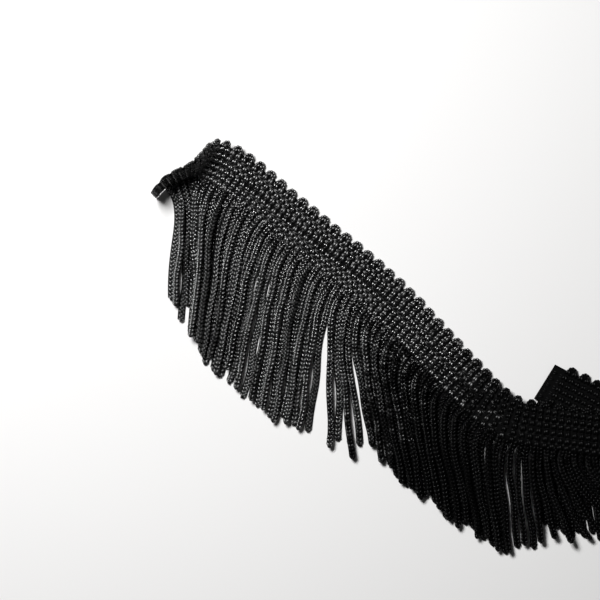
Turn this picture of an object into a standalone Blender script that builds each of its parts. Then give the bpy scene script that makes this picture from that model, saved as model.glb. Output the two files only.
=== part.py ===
"""Chainette fringe trim, laid on a flat surface.

A knitted heading with a scalloped edge runs across the surface. Its first end is turned up on edge,
and its last stretch is folded back under itself. Loose knitted cords leave the heading's plain edge.
Lengths in the tables are millimetres, and bearings are degrees from +X towards +Y.
"""

import math
from collections import namedtuple

import bmesh
import bpy
from mathutils import Vector

MILLIMETRE = 0.001

# Driving sizes of the trim
SCALLOP_PITCH = 4.1
CORD_PITCH = SCALLOP_PITCH / 2
CORD_WIDTH = 1.5
CORD_HEIGHT = 1.3
HEADING_WIDTH = 13.0
HEADING_THICKNESS = 2.0
SCALLOP_DEPTH = 1.3

# Relief of the knitted face, and the four chain rows that run along it
RIB_DEPTH = 0.3
CHAIN_DEPTH = 0.25
CHAIN_ROWS = 4
FIRST_CHAIN_ROW = 1.8
CHAIN_ROW_PITCH = 3.1

# How far out a scallop's shoulder reaches against its crown, and the heights of the heading's two
# edges as fractions of half its thickness
SHOULDER = 0.85
RIM_TOP = 0.35
RIM_FOOT = 0.4
PLAIN_EDGE_TOP = 0.5

# Lay of the trim
CLEARANCE = 0.3
BACKING_WIDTH = 0.9
FOLD_GAP = 0.5
LAYER = CORD_HEIGHT + CLEARANCE
UPPER_RUN = HEADING_THICKNESS + FOLD_GAP
STEPS_BETWEEN_ROWS = 12
STEPS_PER_CORD = 20

# Where the cords sit along their route, as fractions of its length
CORD_RINGS = (0.05, 0.12, 0.22, 0.36, 0.52, 0.68, 0.84, 1.0)
START_HANDLE = 0.2
END_HANDLE = 0.34
LEVEL_RUN = 2.0
RISE_RUN = 1.4
FALL_START = 0.7
PAIRING = 0.22

# How uneven the cut tips are, and the two waves of it, in radians a cord
TIP_UNEVENNESS = 1.1
SHORT_TIP_WAVE = 2.4
LONG_TIP_WAVE = 0.9

# A section of the heading: its scalloped edge in plan, the bearing from there to its plain edge,
# how steeply it stands (0 is flat, 90 on edge), and the height of its underside
Lay = namedtuple("Lay", "x y bearing stand lift")

UPPER_LAY = (
    Lay(-43.3, 30.8, -50, 84, 0.0),
    Lay(-41.1, 33.8, -54, 82, 0.0),
    Lay(-38.4, 36.2, -60, 80, 0.0),
    Lay(-35.0, 37.9, -68, 79, 0.0),
    Lay(-32.1, 39.3, -92, 77, 0.0),
    Lay(-29.1, 41.9, -106, 65, 0.0),
    Lay(-26.5, 44.9, -111, 46, 0.0),
    Lay(-24.4, 46.0, -114, 30, 0.0),
    Lay(-21.8, 45.7, -118, 17, 0.0),
    Lay(-17.1, 43.5, -124, 6, 0.0),
    Lay(-11.5, 39.4, -127, 0, 0.0),
    Lay(-1.5, 30.9, -128, 0, 0.0),
    Lay(10.6, 21.0, -129, 0, 0.0),
    Lay(23.5, 10.6, -131, 0, 0.0),
    Lay(32.9, 1.8, -134, 0, 0.0),
    Lay(41.8, -7.6, -136, 0, 0.0),
    Lay(48.2, -14.4, -136, 0, 0.0),
    Lay(54.7, -21.2, -133, 0, 0.2),
    Lay(60.3, -26.8, -119, 0, 1.6),
    Lay(64.7, -29.4, -105, 0, UPPER_RUN),
    Lay(70.6, -30.7, -98, 0, UPPER_RUN),
    Lay(77.9, -31.8, -95, 0, UPPER_RUN),
    Lay(88.2, -33.2, -95, 0, UPPER_RUN),
    Lay(100.0, -34.4, -96, 0, UPPER_RUN),
    Lay(107.0, -35.0, -97, 0, UPPER_RUN),
)

LOWER_LAY = (
    Lay(107.0, -35.0, -97, 0, 0.0),
    Lay(102.3, -33.6, -103, 0, 0.0),
    Lay(95.6, -29.6, -112, 0, 0.0),
    Lay(88.2, -25.1, -117, 0, 0.0),
    Lay(81.7, -21.8, -118, 0, 0.0),
    Lay(75.0, -18.3, -122, 0, 0.0),
)

# A cord of a fringe: its number, where its tip lies in plan, how far the tip leans to the right of
# straight down, the height that it rests at, how much higher each second cord rests, and how far
# the tip falls below that height where nothing lies under it
Hang = namedtuple("Hang", "cord x y lean rest stagger fall")

TURNED_END_HANG = (
    Hang(0, -38.2, 0.6, 0, 0.0, LAYER, 0.0),
    Hang(2, -34.9, -4.6, -3, 0.0, LAYER, 0.0),
    Hang(3, -32.8, -1.0, -3, 0.0, 0.0, 0.0),
)

MAIN_HANG = (
    Hang(0, -32.3, -8.5, -10, LAYER, LAYER, 0.0),
    Hang(3, -30.2, -13.4, -14, LAYER, LAYER, 0.0),
    Hang(4, -29.6, -15.2, -15, 0.0, LAYER, 0.0),
    Hang(8, -25.9, -20.0, -17, 0.0, LAYER, 0.0),
    Hang(12, -20.6, -22.9, -16, 0.0, LAYER, 0.0),
    Hang(15, -14.4, -28.8, -15, 0.0, LAYER, 0.0),
    Hang(19, -7.4, -34.7, -14, 0.0, LAYER, 0.0),
    Hang(22, -2.4, -36.8, -12, 0.0, LAYER, 0.0),
    Hang(24, 2.1, -38.2, -11, 0.0, LAYER, 0.0),
    Hang(25, 8.8, -41.5, -5, 0.0, LAYER, 0.0),
    Hang(26, 11.0, -40.0, -6, 0.0, LAYER, 0.0),
    Hang(27, 15.3, -44.7, 4, 0.0, LAYER, 0.0),
    Hang(28, 17.4, -43.2, 5, 0.0, LAYER, 0.0),
    Hang(29, 21.0, -41.8, 6, 0.0, LAYER, 0.0),
    Hang(33, 27.0, -49.1, 4, 0.0, LAYER, 0.0),
    Hang(36, 31.4, -55.6, 3, 0.0, LAYER, 0.0),
    Hang(39, 35.4, -57.1, 3, 0.0, LAYER, 0.0),
    Hang(42, 39.6, -58.5, 3, 0.0, LAYER, 0.0),
    Hang(45, 43.9, -64.4, 4, 0.0, LAYER, 0.0),
    Hang(48, 48.2, -66.2, 4, 0.0, LAYER, 0.0),
    Hang(51, 52.4, -68.8, 4, 0.0, LAYER, 0.0),
    Hang(54, 56.7, -72.4, 4, 0.0, LAYER, 0.0),
    Hang(57, 61.6, -74.6, 4, 0.0, LAYER, 0.0),
)

UPPER_RUN_HANG = (
    Hang(0, 63.8, -73.0, 4, LAYER, LAYER, LAYER),
    Hang(1, 66.0, -71.9, 5, LAYER, LAYER, LAYER),
    Hang(2, 68.3, -71.4, 6, LAYER, LAYER, LAYER),
    Hang(3, 71.0, -71.0, 10, LAYER, LAYER, LAYER),
    Hang(4, 75.0, -70.4, 18, LAYER, LAYER, 0.0),
    Hang(6, 84.0, -69.4, 33, LAYER, LAYER, 0.0),
    Hang(8, 94.0, -68.6, 43, LAYER, LAYER, 0.0),
    Hang(10, 102.5, -68.6, 45, LAYER, LAYER, 0.0),
    Hang(14, 113.0, -70.0, 40, LAYER, LAYER, 0.0),
    Hang(20, 127.0, -72.0, 35, LAYER, LAYER, 0.0),
)

LOWER_RUN_HANG = (
    Hang(0, 114.5, -72.0, 24, 0.0, 0.0, 0.0),
    Hang(6, 98.5, -70.0, 12, 0.0, 0.0, 0.0),
    Hang(12, 83.6, -69.3, 3, 0.0, 0.0, 0.0),
    Hang(16, 75.6, -67.4, 0, 0.0, 0.0, 0.0),
    Hang(18, 71.6, -66.0, 0, 0.0, 0.0, 0.0),
)

# A fringe: which lay its backing follows, how far along the plain edge it starts, and its cords
Fringe = namedtuple("Fringe", "name lay start cords hang")

FRINGES = (
    Fringe("fringe_turned_end", UPPER_LAY, 5.0, 4, TURNED_END_HANG),
    Fringe("fringe_main", UPPER_LAY, 16.6, 58, MAIN_HANG),
    Fringe("fringe_upper_run", UPPER_LAY, 135.6, 21, UPPER_RUN_HANG),
    Fringe("fringe_lower_run", LOWER_LAY, 2.4, 19, LOWER_RUN_HANG),
)

BLACK_YARN = (0.012, 0.012, 0.013, 1.0)
YARN_ROUGHNESS = 0.45

# A point along the heading: a place on its scalloped edge, the unit vector to its plain edge,
# its bearing and how steeply it stands
Station = namedtuple("Station", "edge across bearing stand")


def clear_scene():
    """Remove every object that the scene starts with."""
    for item in list(bpy.data.objects):
        bpy.data.objects.remove(item, do_unlink=True)


def slope(before, at, after, step_before, step_after):
    """Slope of a smooth curve at a row, from the rows before and after it."""
    rise_before = (at - before) / step_before
    rise_after = (after - at) / step_after
    return (rise_before * step_after + rise_after * step_before) / (step_before + step_after)


def smooth_value(values, gaps, index, t):
    """A column's value on the smooth curve through its rows, at t between two rows."""
    last = len(values) - 1
    start = values[index]
    end = values[index + 1]
    gap = gaps[index]
    start_slope = (end - start) / gap
    end_slope = start_slope
    if index > 0:
        start_slope = slope(values[index - 1], start, end, gaps[index - 1], gap)
    if index + 1 < last:
        end_slope = slope(start, end, values[index + 2], gap, gaps[index + 1])
    back = 1 - t
    from_ends = start * back * back * (1 + 2 * t) + end * t * t * (3 - 2 * t)
    from_slopes = gap * (start_slope * t * back * back - end_slope * t * t * back)
    return from_ends + from_slopes


def smooth_lay(rows):
    """Closely spaced rows on the smooth curve through the given rows."""
    gaps = [math.hypot(b.x - a.x, b.y - a.y) for a, b in zip(rows, rows[1:])]
    columns = list(zip(*rows))
    result = []
    for index in range(len(rows) - 1):
        for step in range(STEPS_BETWEEN_ROWS):
            t = step / STEPS_BETWEEN_ROWS
            row = Lay(*[smooth_value(column, gaps, index, t) for column in columns])
            result.append(row._replace(lift=max(row.lift, 0.0)))
    result.append(rows[-1])
    return result


def station_at(row):
    """The heading's station for one row of its lay."""
    bearing = math.radians(row.bearing)
    stand = math.radians(row.stand)
    level = math.cos(stand)
    across = Vector((math.cos(bearing) * level, math.sin(bearing) * level, -math.sin(stand)))
    foot_height = row.lift + HEADING_THICKNESS / 2 * level
    edge = Vector((row.x, row.y, foot_height + HEADING_WIDTH * math.sin(stand)))
    return Station(edge, across, bearing, stand)


def fold_stations(start):
    """Stations round the fold where the upper run turns down and back under itself."""
    radius = UPPER_RUN / 2
    centre = start.edge - Vector((0, 0, radius))
    ahead = Vector((-math.sin(start.bearing), math.cos(start.bearing), 0))
    result = []
    for step in range(1, STEPS_BETWEEN_ROWS):
        angle = math.pi * step / STEPS_BETWEEN_ROWS
        offset = ahead * math.sin(angle) + Vector((0, 0, math.cos(angle)))
        result.append(Station(centre + offset * radius, start.across, start.bearing, start.stand))
    return result


def walk(places, pitch):
    """Evenly spaced positions along a line of places, as (index, fraction) pairs."""
    result = []
    due = 0.0
    covered = 0.0
    for index in range(len(places) - 1):
        length = (places[index + 1] - places[index]).length
        while length > 0 and due <= covered + length:
            result.append((index, (due - covered) / length))
            due += pitch
        covered += length
    return result


def between(stations, index, fraction):
    """The station at a fraction of the way from one station to the next."""
    start = stations[index]
    end = stations[index + 1]
    across = start.across.lerp(end.across, fraction).normalized()
    bearing = start.bearing + (end.bearing - start.bearing) * fraction
    stand = start.stand + (end.stand - start.stand) * fraction
    return Station(start.edge.lerp(end.edge, fraction), across, bearing, stand)


def heading_stations():
    """Stations along the whole heading, two for each cord that crosses it."""
    upper = [station_at(row) for row in smooth_lay(UPPER_LAY)]
    lower = [station_at(row) for row in smooth_lay(LOWER_LAY)]
    stations = upper + fold_stations(upper[-1]) + lower
    places = [station.edge for station in stations]
    return [between(stations, *position) for position in walk(places, CORD_PITCH / 2)]


def chain_height(distance):
    """Height of the knitted face above its valleys, at a distance from the scalloped edge."""
    row = (distance - FIRST_CHAIN_ROW) / CHAIN_ROW_PITCH
    return CHAIN_DEPTH * (0.5 + 0.5 * math.cos(2 * math.pi * row))


def heading_profile(number):
    """Outline across the heading at one station, as (distance from the edge, height) pairs."""
    half = HEADING_THICKNESS / 2
    on_rib = number % 2 == 0
    face = half - CHAIN_DEPTH if on_rib else half - CHAIN_DEPTH - RIB_DEPTH
    between_scallops = number % 4 == 3
    reach = 0.0 if between_scallops else SCALLOP_DEPTH * (1.0 if number % 4 == 1 else SHOULDER)
    outline = [(HEADING_WIDTH, -half), (HEADING_WIDTH, half * PLAIN_EDGE_TOP)]
    for step in range(2 * CHAIN_ROWS - 2, -1, -1):
        distance = FIRST_CHAIN_ROW + step * CHAIN_ROW_PITCH / 2
        outline.append((distance, face + chain_height(distance)))
    outline.append((-reach, half * RIM_TOP))
    outline.append((-reach, -half * RIM_FOOT))
    outline.append((FIRST_CHAIN_ROW / 2, -half))
    return outline


def direction_at(places, index):
    """Unit direction of travel along a line of places."""
    before = places[max(index - 1, 0)]
    after = places[min(index + 1, len(places) - 1)]
    return (after - before).normalized()


def finish_mesh(name, mesh_data, material):
    """Make an object from a closed bmesh, with its faces out."""
    bmesh.ops.recalc_face_normals(mesh_data, faces=mesh_data.faces)
    mesh = bpy.data.meshes.new(name)
    mesh_data.to_mesh(mesh)
    mesh_data.free()
    mesh.materials.append(material)
    item = bpy.data.objects.new(name, mesh)
    bpy.context.scene.collection.objects.link(item)
    return item


def join_rings(mesh_data, first, second):
    """Bridge two rings of points with quads."""
    count = len(first)
    for index in range(count):
        following = (index + 1) % count
        mesh_data.faces.new((first[index], first[following], second[following], second[index]))


def build_heading(material):
    """The knitted heading, one closed sheet with its ribs, chain rows and scallops."""
    stations = heading_stations()
    middles = [station.edge + station.across * HEADING_WIDTH / 2 for station in stations]
    mesh_data = bmesh.new()
    rings = []
    for number, station in enumerate(stations):
        along = direction_at(middles, number)
        upward = station.across.cross(along).normalized()
        ring = []
        for distance, height in heading_profile(number):
            place = station.edge + station.across * distance + upward * height
            place.z = max(place.z, 0.0)
            ring.append(mesh_data.verts.new(place * MILLIMETRE))
        rings.append(ring)
    for first, second in zip(rings, rings[1:]):
        join_rings(mesh_data, first, second)
    mesh_data.faces.new(rings[0])
    mesh_data.faces.new(list(reversed(rings[-1])))
    return finish_mesh("heading", mesh_data, material)


def foot_stations(rows):
    """Places along the backing's rear face: clear of the plain edge, at the underside's height."""
    result = []
    for row in smooth_lay(rows):
        station = station_at(row)
        outward = Vector((math.cos(station.bearing), math.sin(station.bearing), 0))
        gap = CLEARANCE + HEADING_THICKNESS / 2 * math.sin(station.stand)
        foot = station.edge + station.across * HEADING_WIDTH + outward * gap
        foot.z = row.lift
        result.append(foot)
    return result


def backing_posts(fringe):
    """Places on the backing's rear face at both sides of each cord, as (place, outward) pairs."""
    feet = foot_stations(fringe.lay)
    step = CORD_PITCH / STEPS_PER_CORD
    fine = [feet[index].lerp(feet[index + 1], part) for index, part in walk(feet, step)]
    side = 1 if fringe.lay is UPPER_LAY else -1
    posts = []
    for cord in range(fringe.cords):
        middle = fringe.start + cord * CORD_PITCH
        for edge in (middle - CORD_WIDTH / 2, middle + CORD_WIDTH / 2):
            index = round(edge / step)
            along = direction_at(fine, index) * side
            outward = Vector((along.y, -along.x, 0)).normalized()
            posts.append((fine[index], outward))
    return posts


def hang_of(fringe, cord):
    """The hang of one cord, read between the rows of its fringe's table."""
    rows = fringe.hang
    for start, end in zip(rows, rows[1:]):
        if cord <= end.cord:
            part = (cord - start.cord) / (end.cord - start.cord)
            return Hang(*[a + (b - a) * part for a, b in zip(start, end)])
    return rows[-1]


def cord_route(fringe, cord, root, outward):
    """A cord's Bezier controls in plan, its resting height, and how far its tip falls."""
    hang = hang_of(fringe, cord)
    lean = math.radians(hang.lean)
    tip_direction = Vector((math.sin(lean), -math.cos(lean), 0))
    sideways = Vector((math.cos(lean), math.sin(lean), 0))
    odd = cord % 2
    uneven = TIP_UNEVENNESS * math.sin(cord * SHORT_TIP_WAVE) * math.cos(cord * LONG_TIP_WAVE)
    tip = Vector((hang.x, hang.y, 0)) + tip_direction * uneven
    tip += sideways * PAIRING * hang.stagger / LAYER * (1 - 2 * odd)
    start = Vector((root.x, root.y, 0))
    reach = (tip - start).length
    early = start + outward * reach * START_HANDLE
    late = tip - tip_direction * reach * END_HANDLE
    rest = hang.rest + hang.stagger * odd
    return (start, early, late, tip), rest, hang.fall


def bezier(controls, t):
    """Place on a cubic Bezier curve, and its direction."""
    a, b, c, d = controls
    back = 1 - t
    place = a * back ** 3 + b * 3 * back * back * t + c * 3 * back * t * t + d * t ** 3
    direction = (b - a) * back * back + (c - b) * 2 * back * t + (d - c) * t * t
    return place, direction.normalized()


def ease(value):
    """Smooth step from 0 to 1."""
    value = min(max(value, 0.0), 1.0)
    return value * value * (3 - 2 * value)


def cord_height(start, rest, fall, length, part):
    """Height of a cord's underside at a fraction of its length."""
    settle = LEVEL_RUN + RISE_RUN * abs(rest - start)
    settled = start + (rest - start) * ease(part * length / settle)
    return settled - fall * ease((part - FALL_START) / (1 - FALL_START))


def grow_cord(mesh_data, fringe, cord, root_ring, root, outward):
    """A four-sided cord that grows out of the backing's face and comes to rest level."""
    controls, rest, fall = cord_route(fringe, cord, root, outward)
    length = (controls[3] - controls[0]).length
    ring = root_ring
    for part in CORD_RINGS:
        place, direction = bezier(controls, part)
        sideways = Vector((direction.y, -direction.x, 0)) * CORD_WIDTH / 2
        low = cord_height(root.z, rest, fall, length, part)
        corners = (
            place + sideways + Vector((0, 0, low)),
            place - sideways + Vector((0, 0, low)),
            place - sideways + Vector((0, 0, low + CORD_HEIGHT)),
            place + sideways + Vector((0, 0, low + CORD_HEIGHT)),
        )
        following = [mesh_data.verts.new(corner * MILLIMETRE) for corner in corners]
        join_rings(mesh_data, ring, following)
        ring = following
    mesh_data.faces.new(ring)


def build_fringe(fringe, material):
    """One fringe: a narrow backing strip with its cords growing from its front face."""
    mesh_data = bmesh.new()
    posts = backing_posts(fringe)
    sections = []
    for place, outward in posts:
        rear = place
        front = place + outward * BACKING_WIDTH
        up = Vector((0, 0, CORD_HEIGHT))
        corners = (rear, rear + up, front + up, front)
        sections.append([mesh_data.verts.new(corner * MILLIMETRE) for corner in corners])
    mesh_data.faces.new(sections[0])
    mesh_data.faces.new(list(reversed(sections[-1])))
    side = 1 if fringe.lay is UPPER_LAY else -1
    for number, (first, second) in enumerate(zip(sections, sections[1:])):
        holds_cord = number % 2 == 0
        for index in range(len(first)):
            following = (index + 1) % len(first)
            is_front = index == 2
            if is_front and holds_cord:
                continue
            mesh_data.faces.new((first[index], first[following], second[following], second[index]))
        if not holds_cord:
            continue
        left, right = (first, second) if side == 1 else (second, first)
        start = posts[number][0] + posts[number][1] * BACKING_WIDTH
        end = posts[number + 1][0] + posts[number + 1][1] * BACKING_WIDTH
        outward = (posts[number][1] + posts[number + 1][1]).normalized()
        root_ring = (left[3], right[3], right[2], left[2])
        grow_cord(mesh_data, fringe, number // 2, root_ring, (start + end) / 2, outward)
    return finish_mesh(fringe.name, mesh_data, material)


def yarn_material():
    """Black polyester yarn."""
    material = bpy.data.materials.new("black_yarn")
    material.use_nodes = True
    shader = material.node_tree.nodes["Principled BSDF"]
    shader.inputs["Base Color"].default_value = BLACK_YARN
    shader.inputs["Roughness"].default_value = YARN_ROUGHNESS
    shader.inputs["Metallic"].default_value = 0.0
    return material


def centre_on_surface(items):
    """Move the meshes so that the middle of their box stands over the origin, on the surface."""
    corners = [vertex.co for item in items for vertex in item.data.vertices]
    low = [min(corner[axis] for corner in corners) for axis in range(3)]
    high = [max(corner[axis] for corner in corners) for axis in range(3)]
    shift = Vector((-(low[0] + high[0]) / 2, -(low[1] + high[1]) / 2, -low[2]))
    for item in items:
        for vertex in item.data.vertices:
            vertex.co += shift
        item.data.update()


def main():
    """Build the trim."""
    clear_scene()
    material = yarn_material()
    items = [build_heading(material)]
    for fringe in FRINGES:
        items.append(build_fringe(fringe, material))
    centre_on_surface(items)


if __name__ == "__main__":
    main()
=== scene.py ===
"""Black knitted-cord fringe trim, laid on a plain pale surface and seen from straight above.

The trim is one cord knitted on and on: it hangs free as fringe, runs up across the heading, turns in a
scallop and comes back down as the next cord. Chain rows run along the heading and bind the cords.
Lengths in the tables are millimetres, and bearings are degrees from +X towards +Y, as in the CAD model.
"""

import logging
import math
from dataclasses import dataclass, field, replace
from enum import Enum
from typing import Callable, NamedTuple, Sequence

import bmesh
import bpy
import numpy as np
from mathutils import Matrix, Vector


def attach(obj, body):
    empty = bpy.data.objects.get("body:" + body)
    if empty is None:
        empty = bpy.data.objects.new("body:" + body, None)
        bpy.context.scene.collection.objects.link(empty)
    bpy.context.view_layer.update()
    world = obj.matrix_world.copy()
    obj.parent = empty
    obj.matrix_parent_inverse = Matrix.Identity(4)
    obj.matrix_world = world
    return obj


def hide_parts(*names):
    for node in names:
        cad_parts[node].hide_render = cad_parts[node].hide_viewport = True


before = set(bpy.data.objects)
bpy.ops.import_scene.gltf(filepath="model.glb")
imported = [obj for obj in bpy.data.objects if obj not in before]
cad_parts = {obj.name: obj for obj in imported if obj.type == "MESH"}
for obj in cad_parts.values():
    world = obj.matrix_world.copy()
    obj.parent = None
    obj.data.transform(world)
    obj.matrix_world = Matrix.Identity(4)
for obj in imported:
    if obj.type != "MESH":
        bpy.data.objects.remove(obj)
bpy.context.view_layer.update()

log = logging.getLogger("fringe_trim")

MILLIMETRE = 0.001
BODY = "root"

# Where the photograph's centre lies in the part's frame, in millimetres
PHOTO_CENTRE = Vector((-41.727, 13.734, 0.0))

# Driving sizes of the trim, as in the CAD model
SCALLOP_PITCH = 4.1
CORD_PITCH = SCALLOP_PITCH / 2
CORD_WIDTH = 1.5
CORD_HEIGHT = 1.3
HEADING_WIDTH = 13.0
HEADING_THICKNESS = 2.0
CLEARANCE = 0.3
BACKING_WIDTH = 0.9
FOLD_GAP = 0.5
LAYER = CORD_HEIGHT + CLEARANCE
UPPER_RUN = HEADING_THICKNESS + FOLD_GAP

# How the lay and the cords are worked out between the rows of their tables
STEPS_BETWEEN_ROWS = 12
STEPS_PER_CORD = 20
START_HANDLE = 0.2
END_HANDLE = 0.34
LEVEL_RUN = 2.0
RISE_RUN = 1.4
FALL_START = 0.7
PAIRING = 0.22
TIP_UNEVENNESS = 1.1
SHORT_TIP_WAVE = 2.4
LONG_TIP_WAVE = 0.9

# Where each stretch of fringe starts along its run of the heading, and how many cords it has
TURNED_END_START = 5.0
TURNED_END_CORDS = 4
CORNER_START = 12.9
CORNER_CORDS = 2
MAIN_START = 16.6
MAIN_CORDS = 58
UPPER_RUN_START = 135.6
UPPER_RUN_CORDS = 21
LOWER_RUN_START = 2.4
LOWER_RUN_CORDS = 19


class LayRow(NamedTuple):
    """A section of the heading: its scalloped edge, bearing across, stand and underside height."""

    x: float
    y: float
    bearing: float
    stand: float
    lift: float


class HangRow(NamedTuple):
    """A cord of a fringe: its number, its tip in plan, its lean, and the heights that it lies at."""

    cord: int
    x: float
    y: float
    lean: float
    rest: float
    stagger: float
    fall: float


UPPER_LAY = (
    LayRow(-43.3, 30.8, -50, 84, 0.0),
    LayRow(-41.1, 33.8, -54, 82, 0.0),
    LayRow(-38.4, 36.2, -60, 80, 0.0),
    LayRow(-35.0, 37.9, -68, 79, 0.0),
    LayRow(-32.1, 39.3, -92, 77, 0.0),
    LayRow(-29.1, 41.9, -106, 65, 0.0),
    LayRow(-26.5, 44.9, -111, 46, 0.0),
    LayRow(-24.4, 46.0, -114, 30, 0.0),
    LayRow(-21.8, 45.7, -118, 17, 0.0),
    LayRow(-17.1, 43.5, -124, 6, 0.0),
    LayRow(-11.5, 39.4, -127, 0, 0.0),
    LayRow(-1.5, 30.9, -128, 0, 0.0),
    LayRow(10.6, 21.0, -129, 0, 0.0),
    LayRow(23.5, 10.6, -131, 0, 0.0),
    LayRow(32.9, 1.8, -134, 0, 0.0),
    LayRow(41.8, -7.6, -136, 0, 0.0),
    LayRow(48.2, -14.4, -136, 0, 0.0),
    LayRow(54.7, -21.2, -133, 0, 0.2),
    LayRow(60.3, -26.8, -119, 0, 1.6),
    LayRow(64.7, -29.4, -105, 0, UPPER_RUN),
    LayRow(70.6, -30.7, -98, 0, UPPER_RUN),
    LayRow(77.9, -31.8, -95, 0, UPPER_RUN),
    LayRow(88.2, -33.2, -95, 0, UPPER_RUN),
    LayRow(100.0, -34.4, -96, 0, UPPER_RUN),
    LayRow(107.0, -35.0, -97, 0, UPPER_RUN),
)

LOWER_LAY = (
    LayRow(107.0, -35.0, -97, 0, 0.0),
    LayRow(102.3, -33.6, -103, 0, 0.0),
    LayRow(95.6, -29.6, -112, 0, 0.0),
    LayRow(88.2, -25.1, -117, 0, 0.0),
    LayRow(81.7, -21.8, -118, 0, 0.0),
    LayRow(75.0, -18.3, -122, 0, 0.0),
)

TURNED_END_HANG = (
    HangRow(0, -38.2, 0.6, 0, 0.0, LAYER, 0.0),
    HangRow(2, -34.9, -4.6, -3, 0.0, LAYER, 0.0),
    HangRow(3, -32.8, -1.0, -3, 0.0, 0.0, 0.0),
)

MAIN_HANG = (
    HangRow(0, -32.3, -8.5, -10, LAYER, LAYER, 0.0),
    HangRow(3, -30.2, -13.4, -14, LAYER, LAYER, 0.0),
    HangRow(4, -29.6, -15.2, -15, 0.0, LAYER, 0.0),
    HangRow(8, -25.9, -20.0, -17, 0.0, LAYER, 0.0),
    HangRow(12, -20.6, -22.9, -16, 0.0, LAYER, 0.0),
    HangRow(15, -14.4, -28.8, -15, 0.0, LAYER, 0.0),
    HangRow(19, -7.4, -34.7, -14, 0.0, LAYER, 0.0),
    HangRow(22, -2.4, -36.8, -12, 0.0, LAYER, 0.0),
    HangRow(24, 2.1, -38.2, -11, 0.0, LAYER, 0.0),
    HangRow(25, 8.8, -41.5, -5, 0.0, LAYER, 0.0),
    HangRow(26, 11.0, -40.0, -6, 0.0, LAYER, 0.0),
    HangRow(27, 15.3, -44.7, 4, 0.0, LAYER, 0.0),
    HangRow(28, 17.4, -43.2, 5, 0.0, LAYER, 0.0),
    HangRow(29, 21.0, -41.8, 6, 0.0, LAYER, 0.0),
    HangRow(33, 27.0, -49.1, 4, 0.0, LAYER, 0.0),
    HangRow(36, 31.4, -55.6, 3, 0.0, LAYER, 0.0),
    HangRow(39, 35.4, -57.1, 3, 0.0, LAYER, 0.0),
    HangRow(42, 39.6, -58.5, 3, 0.0, LAYER, 0.0),
    HangRow(45, 43.9, -64.4, 4, 0.0, LAYER, 0.0),
    HangRow(48, 48.2, -66.2, 4, 0.0, LAYER, 0.0),
    HangRow(51, 52.4, -68.8, 4, 0.0, LAYER, 0.0),
    HangRow(54, 56.7, -72.4, 4, 0.0, LAYER, 0.0),
    HangRow(57, 61.6, -74.6, 4, 0.0, LAYER, 0.0),
)

UPPER_RUN_HANG = (
    HangRow(0, 63.8, -73.0, 4, LAYER, LAYER, LAYER),
    HangRow(1, 66.0, -71.9, 5, LAYER, LAYER, LAYER),
    HangRow(2, 68.3, -71.4, 6, LAYER, LAYER, LAYER),
    HangRow(3, 71.0, -71.0, 10, LAYER, LAYER, LAYER),
    HangRow(4, 75.0, -70.4, 18, LAYER, LAYER, 0.0),
    HangRow(6, 84.0, -69.4, 33, LAYER, LAYER, 0.0),
    HangRow(8, 94.0, -68.6, 43, LAYER, LAYER, 0.0),
    HangRow(10, 102.5, -68.6, 45, LAYER, LAYER, 0.0),
    HangRow(14, 113.0, -70.0, 40, LAYER, LAYER, 0.0),
    HangRow(20, 127.0, -72.0, 35, LAYER, LAYER, 0.0),
)

CORNER_HANG = (
    HangRow(0, -31.6, -3.2, -3, 0.0, 0.0, 0.0),
    HangRow(1, -30.6, -6.4, -6, 0.0, LAYER, 0.0),
)

LOWER_RUN_HANG = (
    HangRow(0, 114.5, -72.0, 24, 0.0, 0.0, 0.0),
    HangRow(6, 98.5, -70.0, 12, 0.0, 0.0, 0.0),
    HangRow(12, 83.6, -69.3, 3, 0.0, 0.0, 0.0),
    HangRow(16, 75.6, -67.4, 0, 0.0, 0.0, 0.0),
    HangRow(18, 71.6, -66.0, 0, 0.0, 0.0, 0.0),
)


class Side(Enum):
    """Which side of its backing's direction of travel a fringe hangs on."""

    RIGHT = 1
    LEFT = -1


class Face(Enum):
    """A face of the heading: the one with the raised chain rows, or its back."""

    FRONT = 1
    BACK = -1


class Finish(Enum):
    """The number of a face's material: the yarn inside a cord, or a stitch in the yarn's own gloss or in one
    of two copies with painted shade.
    """

    INNER = 0
    GLOSSY = 1
    # Painted shade: a less shiny copy of the yarn
    HALF_SHADED = 2
    # Painted shade on stitches: a darker, far less shiny copy of the yarn; the cut yarn ends take it as well
    DULL_AND_SHADED = 3


def ease(value: float) -> float:
    """Smooth step from 0 to 1."""
    value = min(max(value, 0.0), 1.0)
    return value * value * (3 - 2 * value)


def unit_rows(rows: np.ndarray) -> np.ndarray:
    """Each row of an array of vectors, made one long."""
    return rows / np.linalg.norm(rows, axis=-1, keepdims=True)


def deselect_all() -> None:
    """Leave edit mode and select nothing."""
    if bpy.context.object is not None and bpy.context.object.mode != "OBJECT":
        bpy.ops.object.mode_set(mode="OBJECT")
    bpy.ops.object.select_all(action="DESELECT")


def select_vertices(item: bpy.types.Object, wanted: Callable[[Vector], bool]) -> None:
    """Select an edited mesh's vertices by their place.

    Args:
        item: The object in edit mode.
        wanted: A test of a vertex's place.
    """
    edited = bmesh.from_edit_mesh(item.data)
    for vertex in edited.verts:
        vertex.select_set(wanted(vertex.co))
    edited.select_flush_mode()
    bmesh.update_edit_mesh(item.data)


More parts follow.
